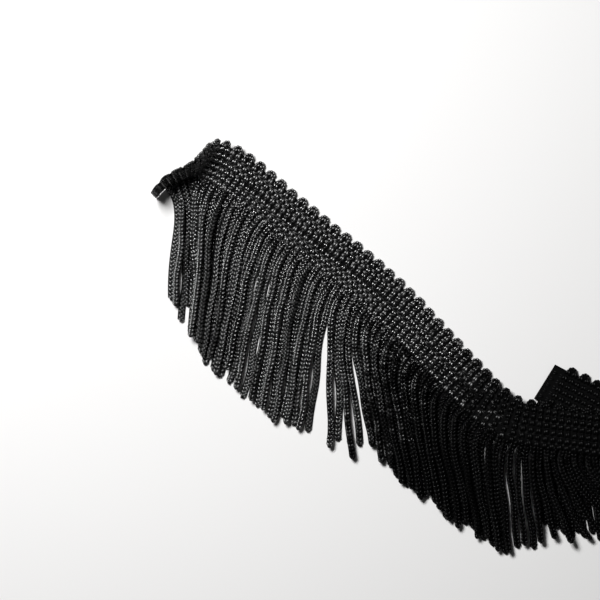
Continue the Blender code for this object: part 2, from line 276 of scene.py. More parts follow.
@dataclass(frozen=True)
class Shape:
    """A small mesh held as arrays, so that it can be copied many times over."""

    places: np.ndarray
    corners: np.ndarray
    face_sizes: np.ndarray
    uvs: np.ndarray

    @staticmethod
    def taken_from(item: bpy.types.Object) -> "Shape":
        """Read a modelled object's mesh, and remove the object.

        Args:
            item: The object, whose mesh has a UV map.

        Returns:
            The shape, in the object's own units.
        """
        mesh = item.data
        places = np.zeros(len(mesh.vertices) * 3)
        mesh.vertices.foreach_get("co", places)
        corners = np.zeros(len(mesh.loops), dtype=np.int64)
        mesh.loops.foreach_get("vertex_index", corners)
        sizes = np.zeros(len(mesh.polygons), dtype=np.int64)
        mesh.polygons.foreach_get("loop_total", sizes)
        uvs = np.zeros(len(mesh.loops) * 2)
        mesh.uv_layers.active.data.foreach_get("uv", uvs)
        bpy.data.objects.remove(item, do_unlink=True)
        bpy.data.meshes.remove(mesh)
        return Shape(places.reshape(-1, 3), corners, sizes, uvs.reshape(-1, 2))

    @staticmethod
    def joined(shapes: Sequence["Shape"]) -> "Shape":
        """Several shapes as one."""
        starts = np.cumsum([0] + [len(shape.places) for shape in shapes[:-1]])
        return Shape(
            np.concatenate([shape.places for shape in shapes]),
            np.concatenate([shape.corners + start for shape, start in zip(shapes, starts)]),
            np.concatenate([shape.face_sizes for shape in shapes]),
            np.concatenate([shape.uvs for shape in shapes]),
        )


@dataclass
class MeshPile:
    """Gathers copies of small shapes, and makes them one smooth mesh."""

    name: str
    places: list[np.ndarray] = field(default_factory=list)
    corners: list[np.ndarray] = field(default_factory=list)
    face_sizes: list[np.ndarray] = field(default_factory=list)
    uvs: list[np.ndarray] = field(default_factory=list)
    tones: list[np.ndarray] = field(default_factory=list)
    finishes: list[np.ndarray] = field(default_factory=list)
    count: int = 0

    def add_copies(
        self,
        shape: Shape,
        placed: np.ndarray,
        tones: np.ndarray,
        finishes: np.ndarray,
    ) -> None:
        """Add copies of a shape, each with its vertices already in place.

        Args:
            shape: The shape that is copied.
            placed: The copies' vertices in millimetres, as an array of copies by vertices by 3.
            tones: A number from 0 to 1 for each copy, which its finish reads.
            finishes: The number of each copy's finish.
        """
        copies = len(placed)
        size = len(shape.places)
        offsets = self.count + np.arange(copies) * size
        self.places.append(placed.reshape(-1, 3))
        self.corners.append((shape.corners[None, :] + offsets[:, None]).reshape(-1))
        self.face_sizes.append(np.tile(shape.face_sizes, copies))
        self.uvs.append(np.tile(shape.uvs, (copies, 1)))
        self.tones.append(np.repeat(tones, size))
        self.finishes.append(np.repeat(finishes, len(shape.face_sizes)))
        self.count += copies * size

    def make_object(self, materials: Sequence[bpy.types.Material]) -> bpy.types.Object:
        """Make the gathered copies one object with its origin at the world's.

        Args:
            materials: The materials, in the order of their finishes' numbers.

        Returns:
            The new object.
        """
        places = (np.concatenate(self.places) + np.array(PHOTO_CENTRE)) * MILLIMETRE
        places[:, 2] = np.maximum(places[:, 2], 0.0)
        corners = np.concatenate(self.corners)
        sizes = np.concatenate(self.face_sizes)
        starts = np.concatenate(([0], np.cumsum(sizes)[:-1]))
        mesh = bpy.data.meshes.new(self.name)
        mesh.vertices.add(len(places))
        mesh.vertices.foreach_set("co", places.reshape(-1))
        mesh.loops.add(len(corners))
        mesh.loops.foreach_set("vertex_index", corners.astype(np.int32))
        mesh.polygons.add(len(sizes))
        mesh.polygons.foreach_set("loop_start", starts.astype(np.int32))
        mesh.update(calc_edges=True)
        layer = mesh.uv_layers.new(name="yarn")
        layer.data.foreach_set("uv", np.concatenate(self.uvs).reshape(-1))
        tone = mesh.attributes.new(name="tone", type="FLOAT", domain="POINT")
        tone.data.foreach_set("value", np.concatenate(self.tones))
        for material in materials:
            mesh.materials.append(material)
        mesh.polygons.foreach_set("material_index", np.concatenate(self.finishes).astype(np.int32))
        mesh.validate()
        mesh.shade_smooth()
        item = bpy.data.objects.new(self.name, mesh)
        bpy.context.scene.collection.objects.link(item)
        log.info("%s: %d faces", self.name, len(sizes))
        return item


@dataclass(frozen=True)
class YarnFinish:
    """Black filament yarn, with its filaments as fine ridges along each leg."""

    name: str
    dark: tuple[float, float, float, float]
    light: tuple[float, float, float, float]
    roughness_dull: float
    roughness_bright: float
    filament_ridges: float
    filament_twist: float
    filament_depth: float
    fuzz_size: float
    fuzz_share: float
    specular: float
    refraction: float = 1.5
    patch_scale: float = 95.0
    bump_strength: float = 0.8

    def build(self) -> bpy.types.Material:
        """Make the yarn's material.

        Returns:
            A node material that reads the piece's own UV map and its tone.
        """
        material = bpy.data.materials.new(self.name)
        material.use_nodes = True
        nodes = material.node_tree.nodes
        links = material.node_tree.links
        shader = nodes["Principled BSDF"]
        shader.inputs["Specular IOR Level"].default_value = self.specular
        shader.inputs["IOR"].default_value = self.refraction

        tone = nodes.new("ShaderNodeAttribute")
        tone.attribute_name = "tone"
        place = nodes.new("ShaderNodeTexCoord")
        patches = nodes.new("ShaderNodeTexNoise")
        patches.inputs["Scale"].default_value = self.patch_scale
        patches.inputs["Detail"].default_value = 2.0
        links.new(place.outputs["Object"], patches.inputs["Vector"])
        blend = nodes.new("ShaderNodeMath")
        blend.operation = "MULTIPLY"
        links.new(tone.outputs["Fac"], blend.inputs[0])
        links.new(patches.outputs["Fac"], blend.inputs[1])

        colour = nodes.new("ShaderNodeMix")
        colour.data_type = "RGBA"
        colour.inputs["A"].default_value = self.dark
        colour.inputs["B"].default_value = self.light
        links.new(blend.outputs["Value"], colour.inputs["Factor"])
        links.new(colour.outputs["Result"], shader.inputs["Base Color"])

        roughness = nodes.new("ShaderNodeMapRange")
        roughness.inputs["To Min"].default_value = self.roughness_dull
        roughness.inputs["To Max"].default_value = self.roughness_bright
        links.new(tone.outputs["Fac"], roughness.inputs["Value"])
        links.new(roughness.outputs["Result"], shader.inputs["Roughness"])

        self._add_filaments(nodes, links, shader)
        return material

    def _add_filaments(
        self,
        nodes: bpy.types.Nodes,
        links: bpy.types.NodeLinks,
        shader: bpy.types.Node,
    ) -> None:
        """Raise the twisted filaments and a fine fuzz in the surface.

        Args:
            nodes: The material's nodes.
            links: The material's links.
            shader: The shader that takes the bump.
        """
        leg = nodes.new("ShaderNodeUVMap")
        leg.uv_map = "yarn"
        split = nodes.new("ShaderNodeSeparateXYZ")
        links.new(leg.outputs["UV"], split.inputs["Vector"])
        twist = nodes.new("ShaderNodeMath")
        twist.operation = "MULTIPLY_ADD"
        twist.inputs[1].default_value = self.filament_twist
        links.new(split.outputs["Y"], twist.inputs[0])
        links.new(split.outputs["X"], twist.inputs[2])
        turns = nodes.new("ShaderNodeMath")
        turns.operation = "MULTIPLY"
        turns.inputs[1].default_value = self.filament_ridges * 2 * math.pi
        links.new(twist.outputs["Value"], turns.inputs[0])
        ridges = nodes.new("ShaderNodeMath")
        ridges.operation = "SINE"
        links.new(turns.outputs["Value"], ridges.inputs[0])

        place = nodes.new("ShaderNodeTexCoord")
        fuzz = nodes.new("ShaderNodeTexNoise")
        fuzz.inputs["Scale"].default_value = 1 / self.fuzz_size
        fuzz.inputs["Detail"].default_value = 3.0
        links.new(place.outputs["Object"], fuzz.inputs["Vector"])
        surface = nodes.new("ShaderNodeMath")
        surface.operation = "MULTIPLY_ADD"
        surface.inputs[1].default_value = self.fuzz_share
        links.new(fuzz.outputs["Fac"], surface.inputs[0])
        links.new(ridges.outputs["Value"], surface.inputs[2])

        bump = nodes.new("ShaderNodeBump")
        bump.inputs["Strength"].default_value = self.bump_strength
        bump.inputs["Distance"].default_value = self.filament_depth
        links.new(surface.outputs["Value"], bump.inputs["Height"])
        links.new(bump.outputs["Normal"], shader.inputs["Normal"])


@dataclass(frozen=True)
class YarnLeg:
    """One leg of a stitch: a short plump length of yarn, arched so that its ends go under."""

    length: float
    width: float
    height: float
    arch: float
    turn: float
    roll: float
    centre: tuple[float, float, float]
    tilt: float = 0.0
    plumpness: float = 1.22
    near_end: float = 0.2
    at_end: float = 0.45
    sides: int = 6
    rings: int = 4

    def model(self) -> Shape:
        """Model the leg as by hand, from a sphere.

        Returns:
            The leg, in millimetres, with the cord running along +Y and its face up.
        """
        deselect_all()
        bpy.ops.mesh.primitive_uv_sphere_add(segments=self.sides, ring_count=self.rings, radius=0.5)
        leg = bpy.context.active_object
        bpy.ops.object.mode_set(mode="EDIT")
        bpy.ops.mesh.select_all(action="SELECT")
        middle = (0.0, 0.0, 0.0)
        bpy.ops.transform.rotate(value=math.pi / 2, orient_axis="X", center_override=middle)
        bpy.ops.transform.resize(value=(self.width, self.length, self.height), center_override=middle)
        self._plump_out(leg)
        self._arch(leg)
        bpy.ops.mesh.select_all(action="SELECT")
        bpy.ops.transform.rotate(value=self.tilt, orient_axis="X", center_override=middle)
        bpy.ops.transform.rotate(value=self.roll, orient_axis="Y", center_override=middle)
        bpy.ops.transform.rotate(value=self.turn, orient_axis="Z", center_override=middle)
        bpy.ops.transform.translate(value=self.centre)
        bpy.ops.object.mode_set(mode="OBJECT")
        return Shape.taken_from(leg)

    def _plump_out(self, leg: bpy.types.Object) -> None:
        """Widen the leg near both ends, so that it is a length of yarn and not a seed."""
        near_end = self.length * self.near_end
        at_end = self.length * self.at_end
        wider = (self.plumpness, 1.0, self.plumpness)
        select_vertices(leg, lambda place: near_end < abs(place.y) < at_end)
        bpy.ops.transform.resize(value=wider, center_override=(0.0, 0.0, 0.0))

    def _arch(self, leg: bpy.types.Object) -> None:
        """Lower the leg's rings, more the nearer they are to its ends."""
        near_end = self.length * self.near_end
        at_end = self.length * self.at_end
        select_vertices(leg, lambda place: abs(place.y) > near_end)
        bpy.ops.transform.translate(value=(0.0, 0.0, -self.arch * 0.5))
        select_vertices(leg, lambda place: abs(place.y) > at_end)
        bpy.ops.transform.translate(value=(0.0, 0.0, -self.arch * 0.5))


@dataclass(frozen=True)
class KnittedStitch:
    """One stitch of the cord: two legs in a V on its face, and two on its back."""

    pitch: float = 1.12
    leg_length: float = 1.55
    leg_width: float = 0.66
    leg_height: float = 0.66
    leg_offset: float = 0.37
    leg_turn: float = math.radians(-42)
    leg_roll: float = math.radians(-12)
    leg_tilt: float = math.radians(-3)
    leg_arch: float = 0.1
    face_height: float = 0.3

    def model(self) -> Shape:
        """Model the stitch with the cord running along +Y, and its face up."""
        legs = []
        for side in (-1, 1):
            face_leg = YarnLeg(
                self.leg_length,
                self.leg_width,
                self.leg_height,
                arch=self.leg_arch,
                turn=side * self.leg_turn,
                roll=side * self.leg_roll,
                centre=(side * self.leg_offset, 0.0, self.face_height),
                tilt=self.leg_tilt,
            )
            back_leg = YarnLeg(
                self.leg_length,
                self.leg_width,
                self.leg_height,
                arch=self.leg_arch,
                turn=side * self.leg_turn,
                roll=math.pi - side * self.leg_roll,
                centre=(side * self.leg_offset, self.pitch / 2, -self.face_height),
                tilt=-self.leg_tilt,
                sides=5,
            )
            legs += [face_leg.model(), back_leg.model()]
        return Shape.joined(legs)


@dataclass(frozen=True)
class ScallopStitch:
    """One stitch of a scallop: a single plump leg, slanted across the loop."""

    pitch: float = 0.78
    leg_length: float = 1.15
    leg_width: float = 0.82
    leg_height: float = 0.95
    leg_turn: float = math.radians(24)

    def model(self) -> Shape:
        """Model the stitch with the loop running along +Y, and its face up."""
        return YarnLeg(
            self.leg_length,
            self.leg_width,
            self.leg_height,
            arch=0.0,
            turn=self.leg_turn,
            roll=0.0,
            centre=(0.0, 0.0, 0.0),
        ).model()


@dataclass(frozen=True)
class ChainStitch:
    """One stitch of a chain row on the heading: two legs side by side over a cord."""

    pitch: float = CORD_PITCH
    leg_length: float = 2.35
    leg_width: float = 0.42
    leg_height: float = 0.4
    leg_offset: float = 0.23
    leg_turn: float = math.radians(13)

    def model(self) -> Shape:
        """Model the stitch with its row running along +Y, and its face up."""
        legs = []
        for side in (-1, 1):
            leg = YarnLeg(
                self.leg_length,
                self.leg_width,
                self.leg_height,
                arch=0.5,
                turn=side * self.leg_turn,
                roll=0.0,
                centre=(side * self.leg_offset, 0.0, 0.0),
            )
            legs.append(leg.model())
        return Shape.joined(legs)


@dataclass(frozen=True)
class Route:
    """A line that yarn follows: points with the way that is up at each, in millimetres."""

    points: np.ndarray
    ups: np.ndarray

    def travelled(self) -> np.ndarray:
        """Distance along the line at each of its points."""
        steps = np.linalg.norm(np.diff(self.points, axis=0), axis=1)
        return np.concatenate(([0.0], np.cumsum(steps)))

    def length(self) -> float:
        """Whole length of the line."""
        return float(self.travelled()[-1])

    def frames(self, distances: np.ndarray) -> tuple[np.ndarray, np.ndarray, np.ndarray, np.ndarray]:
        """Places and directions at distances along the line.

        Args:
            distances: An array of any shape. A place past an end lies straight on from it.

        Returns:
            The places, and the unit vectors ahead, sideways and up, each with a last axis of 3.
        """
        marks = self.travelled()
        ahead = unit_rows(np.gradient(self.points, axis=0))
        held = np.clip(distances, 0.0, marks[-1])
        flat = held.reshape(-1)
        place = np.stack([np.interp(flat, marks, self.points[:, axis]) for axis in range(3)], axis=1)
        direction = np.stack([np.interp(flat, marks, ahead[:, axis]) for axis in range(3)], axis=1)
        direction = unit_rows(direction)
        up = np.stack([np.interp(flat, marks, self.ups[:, axis]) for axis in range(3)], axis=1)
        sideways = unit_rows(np.cross(direction, up))
        up = np.cross(sideways, direction)
        place = place + direction * (distances.reshape(-1) - flat)[:, None]
        shape = distances.shape + (3,)
        return place.reshape(shape), direction.reshape(shape), sideways.reshape(shape), up.reshape(shape)


@dataclass(frozen=True)
class PaintedShade:
    """Painted shade: from one side of the trim to the other, stitches take darker, less shiny copies of the
    yarn, which stand in for shade.
    """

    fails_from: float
    fails_to: float
    half_shaded_left_of: float = -100.0
    mixing: float = 0.3
    drop_share: float = 0.5

    def finishes(self, places: np.ndarray, dice: np.random.Generator) -> np.ndarray:
        """The finish of each stitch: painted shade, they take the darker, less shiny copies the further
        right and down they are.

        Args:
            places: A place in each stitch, in millimetres.
            dice: The source of chance.

        Returns:
            The number of each stitch's finish.
        """
        # Painted shade: how far right and down a stitch lies sets how shaded a copy of the yarn it takes
        reach = places[:, 0] - self.drop_share * places[:, 1]
        part = (reach - self.fails_from) / (self.fails_to - self.fails_from)
        part = part + self.mixing * dice.uniform(-1, 1, len(places))
        shade_steps = Finish.DULL_AND_SHADED.value - Finish.GLOSSY.value + 1
        finishes = Finish.GLOSSY.value + np.clip(np.floor(part * shade_steps), 0, shade_steps - 1).astype(int)
        # Painted shade as well: stitches left of a line take the half-shaded copy
        return np.where(places[:, 0] < self.half_shaded_left_of, Finish.HALF_SHADED.value, finishes)


@dataclass
class YarnLayer:
    """Lays copies of a stitch, and the yarn inside the cord, along routes."""

    pile: MeshPile
    stitch: Shape
    pitch: float
    dice: np.random.Generator
    painted_shade: PaintedShade
    unevenness: float = 0.05
    shift_share: float = 0.6
    tone_spread: float = 0.14
    pitch_spread: float = 0.0
    core_step: float = 1.6
    core_sides: int = 6
    core_inset: float = 0.4

    def lay(
        self,
        route: Route,
        width: float = 1.0,
        height: float = 1.0,
        roll: Callable[[np.ndarray], np.ndarray] | None = None,
        tone: float = 0.5,
    ) -> None:
        """Lay stitches all along a route.

        Args:
            route: The line that the cord's middle follows.
            width: How much wider than modelled the stitches are.
            height: How much higher than modelled the stitches are.
            roll: The cord's turn about its own line in radians, from the distance along it.
            tone: The middle of the stitches' tones.
        """
        tightness = 1 + self.dice.uniform(-self.pitch_spread, self.pitch_spread)
        count = max(int(route.length() / self.pitch * tightness), 1)
        pitch = route.length() / count
        middles = (np.arange(count) + 0.5) * pitch
        sizes = 1 + self.unevenness * self.dice.standard_normal((count, 1, 3)).clip(-2, 2)
        local = self.stitch.places[None, :, :] * sizes * np.array((width, pitch / self.pitch, height))
        shifts = self.unevenness * self.dice.standard_normal((count, 1, 3)).clip(-2, 2) * self.shift_share
        local = local + shifts * np.array((1.0, 1.0, 0.5))
        distances = middles[:, None] + local[:, :, 1]
        place, _, sideways, up = route.frames(distances)
        turn = np.zeros(distances.shape) if roll is None else roll(distances)
        across = local[:, :, 0] * np.cos(turn) + local[:, :, 2] * np.sin(turn)
        high = local[:, :, 2] * np.cos(turn) - local[:, :, 0] * np.sin(turn)
        placed = place + sideways * across[:, :, None] + up * high[:, :, None]
        tones = np.clip(tone + self.tone_spread * self.dice.standard_normal(count), 0.3, 1.0)
        # Painted shade: each stitch takes the yarn's own finish or a shaded copy of it, by its place
        self.pile.add_copies(self.stitch, placed, tones, self.painted_shade.finishes(placed[:, 0], self.dice))

    def lay_core(
        self,
        route: Route,
        half_width: float,
        half_height: float,
        drop: float = 0.0,
    ) -> None:
        """Lay the plain yarn inside a cord, closed at both ends.

        Args:
            route: The line that the cord's middle follows.
            half_width: Half the core's width.
            half_height: Half the core's height.
            drop: How far below the line the core's middle is.
        """
        count = max(int(route.length() / self.core_step), 3)
        inset = self.pitch * self.core_inset
        distances = np.linspace(inset, route.length() - inset, count + 1)
        place, _, sideways, up = route.frames(distances)
        sides = self.core_sides
        turns = np.arange(sides) * 2 * math.pi / sides
        across = np.cos(turns) * half_width
        high = np.sin(turns) * half_height - drop
        rings = place[:, None, :] + sideways[:, None, :] * across[None, :, None]
        rings = rings + up[:, None, :] * high[None, :, None]
        corners = []
        for ring in range(count):
            for side in range(sides):
                following = (side + 1) % sides
                start = ring * sides
                corners += [start + side, start + side + sides, start + following + sides, start + following]
        last = count * sides
        corners += list(range(sides))
        corners += [last + side for side in reversed(range(sides))]
        face_sizes = [4] * (count * sides) + [sides, sides]
        core = Shape(
            rings.reshape(-1, 3),
            np.array(corners),
            np.array(face_sizes),
            np.zeros((len(corners), 2)),
        )
        inner = np.array([Finish.INNER.value])
        self.pile.add_copies(core, core.places[None, :, :], np.zeros(1), inner)


@dataclass(frozen=True)
class Station:
    """A place on the scalloped edge, the unit vector to the plain edge, its bearing and stand."""

    edge: Vector
    across: Vector
    bearing: float
    stand: float


@dataclass
class TrimLay:
    """The whole lay of the heading, worked out from its tables as in the CAD model."""

    upper: Sequence[LayRow] = UPPER_LAY
    lower: Sequence[LayRow] = LOWER_LAY
    edges: np.ndarray = field(init=False)
    acrosses: np.ndarray = field(init=False)
    ups: np.ndarray = field(init=False)
    marks: np.ndarray = field(init=False)

    def __post_init__(self) -> None:
        """Work out closely spaced frames along the whole scalloped edge."""
        upper = [self.station_at(row) for row in self.smooth_lay(self.upper)]
        lower = [self.station_at(row) for row in self.smooth_lay(self.lower)]
        stations = upper + self._fold_stations(upper[-1]) + lower
        self.edges = np.array([station.edge for station in stations])
        self.acrosses = unit_rows(np.array([station.across for station in stations]))
        middles = self.edges + self.acrosses * HEADING_WIDTH / 2
        alongs = unit_rows(np.gradient(middles, axis=0))
        self.ups = unit_rows(np.cross(self.acrosses, alongs))
        steps = np.linalg.norm(np.diff(self.edges, axis=0), axis=1)
        self.marks = np.concatenate(([0.0], np.cumsum(steps)))

    @staticmethod
    def smooth_value(values: Sequence[float], gaps: Sequence[float], index: int, t: float) -> float:
        """A column's value on the smooth curve through its rows.

        Args:
            values: The column's values.
            gaps: The distances from row to row.
            index: The row before the wanted place.
            t: The fraction of the way to the next row.

        Returns:
            The value there.
        """

        def slope(at: int) -> float:
            """Slope of the curve at a row, from the rows before and after it."""
            if at == 0:
                return (values[1] - values[0]) / gaps[0]
            if at == len(values) - 1:
                return (values[at] - values[at - 1]) / gaps[at - 1]
            before = (values[at] - values[at - 1]) / gaps[at - 1]
            after = (values[at + 1] - values[at]) / gaps[at]
            return (before * gaps[at] + after * gaps[at - 1]) / (gaps[at - 1] + gaps[at])

        gap = gaps[index]
        straight = (values[index + 1] - values[index]) / gap
        start_slope = slope(index) if index > 0 else straight
        end_slope = slope(index + 1) if index + 1 < len(values) - 1 else straight
        back = 1 - t
        from_ends = values[index] * back * back * (1 + 2 * t) + values[index + 1] * t * t * (3 - 2 * t)
        return from_ends + gap * (start_slope * t * back * back - end_slope * t * t * back)

    @classmethod
    def smooth_lay(cls, rows: Sequence[LayRow]) -> list[LayRow]:
        """Closely spaced rows on the smooth curve through the given rows."""
        gaps = [math.hypot(b.x - a.x, b.y - a.y) for a, b in zip(rows, rows[1:])]
        columns = list(zip(*rows))
        result = []
        for index in range(len(rows) - 1):
            for step in range(STEPS_BETWEEN_ROWS):
                t = step / STEPS_BETWEEN_ROWS
                row = LayRow(*[cls.smooth_value(column, gaps, index, t) for column in columns])
                result.append(row._replace(lift=max(row.lift, 0.0)))
        result.append(rows[-1])
        return result

    @staticmethod
    def station_at(row: LayRow) -> Station:
        """The heading's station for one row of its lay."""
        bearing = math.radians(row.bearing)
        stand = math.radians(row.stand)
        level = math.cos(stand)
        across = Vector((math.cos(bearing) * level, math.sin(bearing) * level, -math.sin(stand)))
        foot_height = row.lift + HEADING_THICKNESS / 2 * level
        edge = Vector((row.x, row.y, foot_height + HEADING_WIDTH * math.sin(stand)))
        return Station(edge, across, bearing, stand)

    @staticmethod
    def _fold_stations(start: Station) -> list[Station]:
        """Stations round the fold where the upper run turns down and back under itself."""
        radius = UPPER_RUN / 2
        centre = start.edge - Vector((0, 0, radius))
        ahead = Vector((-math.sin(start.bearing), math.cos(start.bearing), 0))
        result = []
        for step in range(1, STEPS_BETWEEN_ROWS):
            angle = math.pi * step / STEPS_BETWEEN_ROWS
            offset = ahead * math.sin(angle) + Vector((0, 0, math.cos(angle)))
            result.append(Station(centre + offset * radius, start.across, start.bearing, start.stand))
        return result

    def length(self) -> float:
        """Length of the scalloped edge, without its scallops."""
        return float(self.marks[-1])

    def frames(self, along: np.ndarray) -> tuple[np.ndarray, np.ndarray, np.ndarray]:
        """Frames at distances along the scalloped edge.

        Args:
            along: An array of distances.

        Returns:
            The places on the edge, and the unit vectors across the heading and up out of its face.
        """
        columns = []
        for rows in (self.edges, self.acrosses, self.ups):
            parts = [np.interp(along, self.marks, rows[:, axis]) for axis in range(3)]
            columns.append(np.stack(parts, axis=-1))
        return columns[0], unit_rows(columns[1]), unit_rows(columns[2])

    def place(self, along: np.ndarray, across: np.ndarray, height: np.ndarray) -> np.ndarray:
        """Places on the heading, from distances along it and across it, and heights out of it."""
        edge, to_plain, up = self.frames(along)
        return edge + to_plain * across[..., None] + up * height[..., None]


@dataclass
class CordFringe:
    """One stretch of fringe: cords that leave the heading's plain edge and lie on the surface."""

    name: str
    node: str
    lay: Sequence[LayRow]
    side: Side
    start: float
    cords: int
    hang: Sequence[HangRow]
    shown: range
    route_points: int = 36

    def roots(self) -> list[tuple[Vector, Vector]]:
        """Where each cord leaves the strip, and the way that it points there."""
        feet = []
        for row in TrimLay.smooth_lay(self.lay):
            station = TrimLay.station_at(row)
            outward = Vector((math.cos(station.bearing), math.sin(station.bearing), 0))
            gap = CLEARANCE + HEADING_THICKNESS / 2 * math.sin(station.stand)
            foot = station.edge + station.across * HEADING_WIDTH + outward * gap
            foot.z = row.lift
            feet.append(foot)
        step = CORD_PITCH / STEPS_PER_CORD
        fine = self._walk(feet, step)
        result = []
        for cord in range(self.cords):
            middle = self.start + cord * CORD_PITCH
            posts = []
            for edge in (middle - CORD_WIDTH / 2, middle + CORD_WIDTH / 2):
                index = round(edge / step)
                before = fine[max(index - 1, 0)]
                after = fine[min(index + 1, len(fine) - 1)]
                along = (after - before).normalized() * self.side.value
                posts.append((fine[index], Vector((along.y, -along.x, 0)).normalized()))
            fronts = [place + outward * BACKING_WIDTH for place, outward in posts]
            result.append(((fronts[0] + fronts[1]) / 2, (posts[0][1] + posts[1][1]).normalized()))
        return result

    @staticmethod
    def _walk(places: Sequence[Vector], pitch: float) -> list[Vector]:
        """Evenly spaced places along a line of places."""
        result = []
        due = 0.0
        covered = 0.0
        for start, end in zip(places, places[1:]):
            length = (end - start).length
            while length > 0 and due <= covered + length:
                result.append(start.lerp(end, (due - covered) / length))
                due += pitch
            covered += length
        return result

    def hang_of(self, cord: int) -> HangRow:
        """The hang of one cord, read between the rows of the fringe's table."""
        for start, end in zip(self.hang, self.hang[1:]):
            if cord <= end.cord:
                part = (cord - start.cord) / (end.cord - start.cord)
                return HangRow(*[a + (b - a) * part for a, b in zip(start, end)])
        return self.hang[-1]

    def route(self, cord: int, root: Vector, outward: Vector, leaves: np.ndarray | None) -> Route:
        """The line that a cord's middle follows, from the heading to its cut end.

        Args:
            cord: The cord's number.
            root: Where it leaves the strip.
            outward: The way that it points there.
            leaves: Two places inside the heading that it comes from, or None.

        Returns:
            The route.
        """
        hang = self.hang_of(cord)
        lean = math.radians(hang.lean)
        tip_direction = Vector((math.sin(lean), -math.cos(lean), 0))
        sideways = Vector((math.cos(lean), math.sin(lean), 0))
        odd = cord % 2
        uneven = TIP_UNEVENNESS * math.sin(cord * SHORT_TIP_WAVE) * math.cos(cord * LONG_TIP_WAVE)
        tip = Vector((hang.x, hang.y, 0)) + tip_direction * uneven
        tip += sideways * PAIRING * hang.stagger / LAYER * (1 - 2 * odd)
        start = Vector((root.x, root.y, 0))
        reach = (tip - start).length
        early = start + outward * reach * START_HANDLE
        late = tip - tip_direction * reach * END_HANDLE
        rest = hang.rest + hang.stagger * odd
        settle = LEVEL_RUN + RISE_RUN * abs(rest - root.z)
        points = [] if leaves is None else list(leaves)
        for number in range(self.route_points):
            t = number / (self.route_points - 1)
            back = 1 - t
            place = start * back ** 3 + early * 3 * back * back * t
            place = place + late * 3 * back * t * t + tip * t ** 3
            low = root.z + (rest - root.z) * ease(t * reach / settle)
            low -= hang.fall * ease((t - FALL_START) / (1 - FALL_START))
            points.append((place.x, place.y, low + CORD_HEIGHT / 2))
        rows = np.array(points)
        return Route(rows, np.tile((0.0, 0.0, 1.0), (len(rows), 1)))


@dataclass(frozen=True)
class CutEnd:
    """The cut end of a cord: a few yarn ends that stand a little out of it."""

    strands: int = 7
    length: float = 0.75
    radius: float = 0.16
    point_share: float = 0.45
    spread: float = 0.34
    widening: float = 1.25
    lean: float = 0.25
    stands_out: float = 0.05
    turn: float = 0.6
    size_spread: float = 0.12
    tone: float = 0.4

    def model(self) -> Shape:
        """Model the yarn ends pointing along +Y from the cord's end."""
        strands = []
        for number in range(self.strands):
            angle = 2 * math.pi * number / self.strands
            distance = self.spread if number else 0.0
            deselect_all()
            bpy.ops.mesh.primitive_cone_add(
                vertices=5,
                radius1=self.radius,
                radius2=self.radius * self.point_share,
                depth=self.length,
                location=(0.0, 0.0, 0.0),
            )
            strand = bpy.context.active_object
            bpy.ops.object.mode_set(mode="EDIT")
            bpy.ops.mesh.select_all(action="SELECT")
            middle = (0.0, 0.0, 0.0)
            bpy.ops.transform.rotate(value=math.pi / 2, orient_axis="X", center_override=middle)
            lean = self.lean * math.cos(angle) if number else 0.0
            bpy.ops.transform.rotate(value=lean, orient_axis="Z", center_override=middle)
            across = distance * self.widening * math.cos(angle)
            shift = (across, self.stands_out, distance * math.sin(angle))
            bpy.ops.transform.translate(value=shift)
            bpy.ops.object.mode_set(mode="OBJECT")
            strands.append(Shape.taken_from(strand))
        return Shape.joined(strands)


@dataclass(frozen=True)
class CordTurn:
    """How cords turn about their own lines: most show their face, and some are turned a little."""

    starts: tuple[float, ...] = (0.0, 0.0, 0.1, -0.1, 0.22, -0.22, 1.0)
    start_spread: float = 0.1
    twist_spread: float = 0.006
    swings: tuple[float, float] = (0.05, 0.35)
    waves: tuple[float, float] = (0.08, 0.2)

    def draw(self, dice: np.random.Generator) -> Callable[[np.ndarray], np.ndarray]:
        """Draw how one cord turns.

        Args:
            dice: The source of chance.

        Returns:
            A function that gives the turn in radians at distances along the cord.
        """
        start = dice.choice(self.starts) * math.pi + dice.normal(0, self.start_spread)
        twist = dice.normal(0, self.twist_spread)
        swing = dice.uniform(*self.swings)
        wave = dice.uniform(*self.waves)
        phase = dice.uniform(0, 2 * math.pi)
        return lambda distance: start + twist * distance + swing * np.sin(wave * distance + phase)


